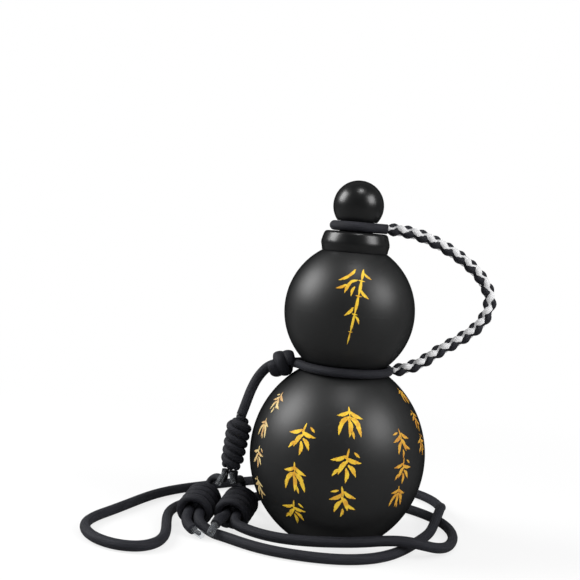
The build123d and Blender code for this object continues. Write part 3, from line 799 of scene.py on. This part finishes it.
def sennit_line(strand):
    """Centreline of one of the snake knot's two strands, an oval twist that narrows downwards."""
    top, bottom = np.array(SENNIT_TOP), np.array(SENNIT_BOTTOM)
    down = unit(bottom - top)
    across = unit(np.array((1.0, 0.0, 0.0)) - down * down[0])
    front = np.cross(down, across)
    length = np.linalg.norm(bottom - top)
    points = []
    steps = SENNIT_TURNS * POINTS_PER_TURN
    for step in range(steps + 1):
        share = step / steps
        angle = 2 * math.pi * SENNIT_TURNS * share + math.pi * strand + math.radians(SENNIT_ANGLE)
        wide = SENNIT_WIDE_TOP + (SENNIT_WIDE_BOTTOM - SENNIT_WIDE_TOP) * share
        deep = SENNIT_DEEP_TOP + (SENNIT_DEEP_BOTTOM - SENNIT_DEEP_TOP) * share
        ends = min(share, 1 - share) / SENNIT_END_SHARE
        tuck = min(1.0, SENNIT_TUCK_SHARE + (1 - SENNIT_TUCK_SHARE) * ends)
        place = top + down * (SENNIT_INSET + (length - 2 * SENNIT_INSET) * share)
        sideways = across * wide * tuck * math.cos(angle)
        forwards = front * deep * tuck * math.sin(angle)
        points.append(tuple(place - sideways + forwards))
    return points


def snake_sennit(diameter, finish):
    """The snake knot: two strands twisted round each other, and a core that fills them."""
    shells = []
    for strand in (0, 1):
        line = even_line(route_line(sennit_line(strand)), SENNIT_STEP)
        shells.append((cord_shell(line, diameter, 16, True, True), 0))
    top, bottom = np.array(SENNIT_TOP), np.array(SENNIT_BOTTOM)
    inside = [tuple(top + (bottom - top) * share) for share in SENNIT_CORE_SHARES]
    core = even_line(route_line(inside), CORE_STEP)
    shells.append((cord_shell(core, SENNIT_CORE, 16, False, True), 0))
    return cord_object("snake_sennit", shells, [finish])


class BOTTLE_OT_hanger(BottleOperator, bpy.types.Operator):
    """Make the hanger cord, the snake knot below it and the strands that join it to the strap"""

    bl_idname = "bottle.hanger"
    bl_label = "Hanger and snake knot"

    def execute(self, context):
        sizes = context.scene.bottle_sizes
        finish = black_cord_finish()
        hanger, line = plain_cord("hanger_line", HANGER, sizes.cord, finish)
        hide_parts("hanger_cord")
        sennit = snake_sennit(sizes.sennit_strand, finish)
        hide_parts("snake_knot")
        pieces = [bpy.data.objects["waist_winding"], sennit]
        for side, tip in SENNIT_TIPS.items():
            start, end = (np.array(point) for point in tip)
            ahead = unit(end - start)
            first, last = start - ahead * SENNIT_END_BEFORE, end - ahead * SENNIT_END_SHORT
            inside = [first, start, (start + end) / 2, last]
            core, _ = plain_cord(f"snake_{side}_end", inside, SENNIT_END, finish, round_end=True)
            pieces += [core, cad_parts["snake_tip_" + side]]
        for side, route, length in (("left", LEFT_STRAND, 0.0430), ("right", RIGHT_STRAND, 0.0402)):
            strand, line = plain_cord(f"sennit_strand_{side}", route, LINK_STRAND, finish)
            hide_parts("snake_strand_" + side)
        return {"FINISHED"}


def braid_strands(line):
    """Number of colour, centreline and widest directions of each of the braid's four strands."""
    ahead = headings(line)
    along = run_lengths(line)
    total = along[-1]
    towards = np.array((0.0, -1.0, 0.0))
    front = unit(towards - ahead * (ahead @ towards)[:, None])
    aside = np.cross(ahead, front)
    turned = np.clip((along / total - LEAN_START) / LEAN_SPAN, 0, 1)
    turned = turned * turned * (3 - 2 * turned)
    lean = np.radians(BRAID_LEAN) * (1 - 2 * turned)
    first = front * np.cos(lean)[:, None] - aside * np.sin(lean)[:, None]
    second = np.cross(ahead, first)
    ends = np.clip(np.minimum(along, total - along) / BRAID_END, 0, 1)
    drawn_in = BRAID_END_SHARE + (1 - BRAID_END_SHARE) * ends
    turn = 2 * np.pi * along / BRAID_PITCH
    for number, (direction, sign, _, _) in enumerate(BRAID_STRANDS):
        for half in (0, 1):
            angle = direction * (turn - sign * BRAID_BUNCH * np.sin(2 * turn)) + np.pi * half
            reach = (BRAID_REACH + sign * BRAID_SWING * np.cos(2 * turn)) * drawn_in
            outwards = first * np.cos(angle)[:, None] + second * np.sin(angle)[:, None]
            yield number, line + outwards * reach[:, None], np.cross(ahead, outwards)


class BOTTLE_OT_tether(BottleOperator, bpy.types.Operator):
    """Braid the tether from two black and two white strands"""

    bl_idname = "bottle.tether"
    bl_label = "Braided tether"

    def execute(self, context):
        sizes = context.scene.bottle_sizes
        line = even_line(route_line(TETHER, resolution=16), BRAID_STEP)
        shells = []
        for number, strand, widest in braid_strands(line):
            _, _, wide, thick = BRAID_STRANDS[number]
            shell = cord_shell(strand[::2], sizes.strand * thick, 14, True, True, widest[::2], wide)
            shells.append((shell, number))
        finishes = [white_cord_finish(), black_cord_finish()]
        braid = cord_object("tether_plait", shells, finishes, None)
        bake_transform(braid)
        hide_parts("tether_braid")
        return {"FINISHED"}


def deselect():
    if bpy.context.mode != "OBJECT":
        bpy.ops.object.mode_set(mode="OBJECT")
    bpy.ops.object.select_all(action="DESELECT")


def brush_stroke(bow):
    """A leaf-shaped brush stroke, a unit long and wide: a disc drawn out to a lower point and bowed."""
    deselect()
    bpy.ops.mesh.primitive_circle_add(vertices=16, radius=0.5, fill_type="TRIFAN")
    stroke = bpy.context.object
    stroke.name = "brush_stroke"
    bpy.ops.object.mode_set(mode="EDIT")
    bpy.ops.mesh.select_all(action="SELECT")
    bpy.ops.mesh.subdivide(number_cuts=1)
    bpy.ops.object.mode_set(mode="OBJECT")
    for low, high, wide, shift, rise in STROKE_BANDS:
        for vertex in stroke.data.vertices:
            vertex.select = low <= vertex.co.y < high
        for edge in stroke.data.edges:
            edge.select = all(stroke.data.vertices[index].select for index in edge.vertices)
        for face in stroke.data.polygons:
            face.select = all(stroke.data.vertices[index].select for index in face.vertices)
        bpy.ops.object.mode_set(mode="EDIT")
        bpy.ops.transform.resize(value=(wide, 1.0, 1.0), center_override=(0.0, 0.0, 0.0))
        bpy.ops.transform.translate(value=(shift * bow, rise, 0.0))
        bpy.ops.object.mode_set(mode="OBJECT")
    deselect()
    return stroke


def bulb_place(azimuth, height):
    """Place, right, up and outward directions on the bulbs' skin at an azimuth and a height."""
    reach, centre, radius = UPPER_ARC if height > WAIST_HEIGHT else LOWER_ARC
    rise = (height - centre) / radius
    level = math.sqrt(1 - rise * rise)
    angle = math.radians(azimuth)
    out_flat = Vector((math.sin(angle), -math.cos(angle), 0.0))
    outwards = out_flat * level + Vector((0.0, 0.0, rise))
    right = Vector((math.cos(angle), math.sin(angle), 0.0))
    place = out_flat * (reach + radius * level) + Vector((0.0, 0.0, height))
    return place, right, outwards.cross(right), outwards


def leaf_copies(sprigs, strokes):
    """Copies of the brush strokes, each a little off the bulb in its leaf's place."""
    copies = []
    for form, azimuth, height, size in sprigs:
        place, right, up, outwards = bulb_place(azimuth, height)
        flat = Matrix((right, up, outwards)).transposed().to_4x4()
        for across, rise, angle, length, width, bow in STROKES[form]:
            copy = strokes[bow].copy()
            copy.data = strokes[bow].data.copy()
            bpy.context.scene.collection.objects.link(copy)
            shift = Matrix.Translation(
                place + right * (across * size / 1000) + up * (rise * size / 1000) + outwards * STROKE_LIFT
            )
            spin = Matrix.Rotation(math.radians(angle), 4, "Z")
            grow = Matrix.Diagonal((width * size / 1000, length * size / 1000, 0.001, 1.0))
            copy.data.transform(shift @ flat @ spin @ grow)
            copy.matrix_world = Matrix.Identity(4)
            copies.append(copy)
    return copies


def lie_on(marks, bulb, lift):
    """Lay the active piece's painted marks on a bulb, and give them the paint's thickness."""
    wrap = marks.modifiers.new("lie_on_bulb", "SHRINKWRAP")
    wrap.target = bulb
    wrap.wrap_method = "NEAREST_SURFACEPOINT"
    wrap.wrap_mode = "ABOVE_SURFACE"
    wrap.offset = lift
    bpy.ops.object.modifier_apply(modifier=wrap.name)
    thick = marks.modifiers.new("paint_thickness", "SOLIDIFY")
    thick.thickness = lift * 2
    thick.offset = -1.0
    bpy.ops.object.modifier_apply(modifier=thick.name)
    bpy.ops.object.shade_smooth_by_angle(angle=math.radians(50))


class BOTTLE_OT_sprigs(BottleOperator, bpy.types.Operator):
    """Paint the gold leaf sprigs on the lower bulb and the cane on the upper one"""

    bl_idname = "bottle.sprigs"
    bl_label = "Gold sprigs"

    def execute(self, context):
        colours, sizes = context.scene.bottle_colours, context.scene.bottle_sizes
        # Painted light on the far left leaves, a paler gold, and painted shade on the right and far right
        # leaves, a deeper gold
        pale = paint_finish("pale_gold_paint", colours.lit_pale_gold)
        deep = paint_finish("deep_gold_paint", colours.shaded_deep_gold)
        gold = paint_finish("gold_paint", colours.gold)
        paints = {"gold_sprigs_far_left": pale, "gold_sprigs_right": deep, "gold_sprigs_far_right": deep}
        strokes = {bow: brush_stroke(bow) for bow in (-1, 0, 1)}
        for name, sprigs in SPRIGS.items():
            deselect()
            copies = leaf_copies(sprigs, strokes)
            for copy in copies:
                copy.select_set(True)
            context.view_layer.objects.active = copies[0]
            bpy.ops.object.join()
            marks = context.object
            marks.name = name
            marks.data.name = name
            marks.data.materials.clear()
            marks.data.materials.append(paints.get(name, gold))
            bulb = "upper_bulb" if name == "gold_cane_upper" else "lower_bulb"
            lie_on(marks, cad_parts[bulb], sizes.paint)
            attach(marks, "bottle")
        for stroke in strokes.values():
            bpy.data.objects.remove(stroke)
        return {"FINISHED"}


class BOTTLE_OT_finishes(BottleOperator, bpy.types.Operator):
    """Give the carried-over solids their finishes"""

    bl_idname = "bottle.finishes"
    bl_label = "Finishes"

    def execute(self, context):
        colours = context.scene.bottle_colours
        fired = body_finish(colours)
        for node in ("lower_bulb", "upper_bulb", "neck"):
            dress(node, fired)
        dress("stopper", glaze_finish(colours))
        dress("stopper_seal", silicone_finish())
        sleeve = sleeve_finish()
        for node in ("snake_tip_left", "snake_tip_right", "tail_tip_left", "tail_tip_right"):
            dress(node, sleeve)
        return {"FINISHED"}


def soft_lamp(name, power, direction, distance, shape, width, height):
    """A lamp with a face of that shape, at a distance in a direction from its aim, turned to it."""
    data = bpy.data.lights.new(name, "AREA")
    data.energy = power
    data.shape = shape
    data.size = width
    data.size_y = height
    lamp = bpy.data.objects.new(name, data)
    bpy.context.scene.collection.objects.link(lamp)
    way = Vector(direction).normalized()
    lamp.location = Vector(LAMP_AIM) + way * distance
    lamp.rotation_euler = way.to_track_quat("Z", "Y").to_euler()
    lamp.visible_camera = False


def world_finish():
    """White where the camera sees it, grey for plain light, and dim in reflections, less so behind."""
    finish = Finish(bpy.data.worlds.new("studio"))
    way = finish.add("ShaderNodeTexCoord", {}, {}, "Generated")
    behind = finish.step(finish.part(way, 1), 0.1, 0.8)
    glossy = finish.ray("Glossy")
    plain = finish.math("MAXIMUM", finish.ray("Camera"), finish.ray("Transmission"))
    seen = glossy * (behind * 0.12 + 0.03) + (1.0 - glossy) * 0.42
    light = finish.math("MAXIMUM", plain, seen)
    shade = finish.add("ShaderNodeBackground", {}, {"Color": (1.0, 1.0, 1.0), "Strength": light})
    return finish.finish(shade, "ShaderNodeOutputWorld")


def floor_finish():
    """Pale paper that the camera sees almost white near the bottle and white further off."""
    finish = new_finish("white_floor")
    seen = finish.math("MAXIMUM", finish.ray("Camera"), finish.ray("Transmission"))
    glossy = finish.ray("Glossy")
    reach = finish.add("ShaderNodeVectorMath", {"operation": "LENGTH"}, {0: finish.place()}, 1)
    far = finish.step(reach, 0.12, 0.5)
    share = finish.math("MAXIMUM", seen * (far * 0.24 + 0.76), glossy * 0.04)
    sheet = finish.blend(glossy, (0.82, 0.82, 0.82), (0.13, 0.13, 0.13))
    paper = finish.add("ShaderNodeBsdfDiffuse", {}, {"Color": sheet})
    white = finish.add("ShaderNodeEmission", {}, {"Color": (1.0, 1.0, 1.0), "Strength": 1.0})
    return finish.finish(finish.add("ShaderNodeMixShader", {}, {0: share, 1: paper, 2: white}))


class BOTTLE_OT_stage(BottleOperator, bpy.types.Operator):
    """Lay the pale floor and set the soft studio light"""

    bl_idname = "bottle.stage"
    bl_label = "Stage"

    def execute(self, context):
        deselect()
        bpy.ops.mesh.primitive_plane_add(size=FLOOR_WIDTH, location=(0.0, 0.0, -FLOOR_DROP))
        floor = context.object
        floor.name = "floor"
        floor.data.materials.append(floor_finish())
        context.scene.world = world_finish()
        context.scene.view_settings.view_transform = "Standard"
        for name, lamp in LAMPS.items():
            soft_lamp(name, *lamp)
        return {"FINISHED"}


STEPS = ("camera", "strap", "loops", "hanger", "tether", "sprigs", "finishes", "stage")


class BOTTLE_PT_panel(bpy.types.Panel):
    """Lists the bottle's sizes, colours and steps"""

    bl_idname = "BOTTLE_PT_panel"
    bl_label = "Gourd Bottle"
    bl_space_type = "VIEW_3D"
    bl_region_type = "UI"
    bl_category = "Gourd Bottle"

    def draw(self, context):
        for group in (context.scene.bottle_sizes, context.scene.bottle_colours):
            for name in group.__annotations__:
                self.layout.prop(group, name)
        for step in STEPS:
            self.layout.operator("bottle." + step)


CLASSES = (
    BottleColours, BottleSizes, BOTTLE_OT_camera, BOTTLE_OT_strap, BOTTLE_OT_loops, BOTTLE_OT_hanger,
    BOTTLE_OT_tether, BOTTLE_OT_sprigs, BOTTLE_OT_finishes, BOTTLE_OT_stage, BOTTLE_PT_panel,
)


def register():
    for entry in CLASSES:
        bpy.utils.register_class(entry)
    bpy.types.Scene.bottle_colours = bpy.props.PointerProperty(type=BottleColours)
    bpy.types.Scene.bottle_sizes = bpy.props.PointerProperty(type=BottleSizes)


def unregister():
    del bpy.types.Scene.bottle_sizes
    del bpy.types.Scene.bottle_colours
    for entry in reversed(CLASSES):
        bpy.utils.unregister_class(entry)


def main():
    register()
    for step in STEPS:
        getattr(bpy.ops.bottle, step)()


if __name__ == "__main__":
    main()
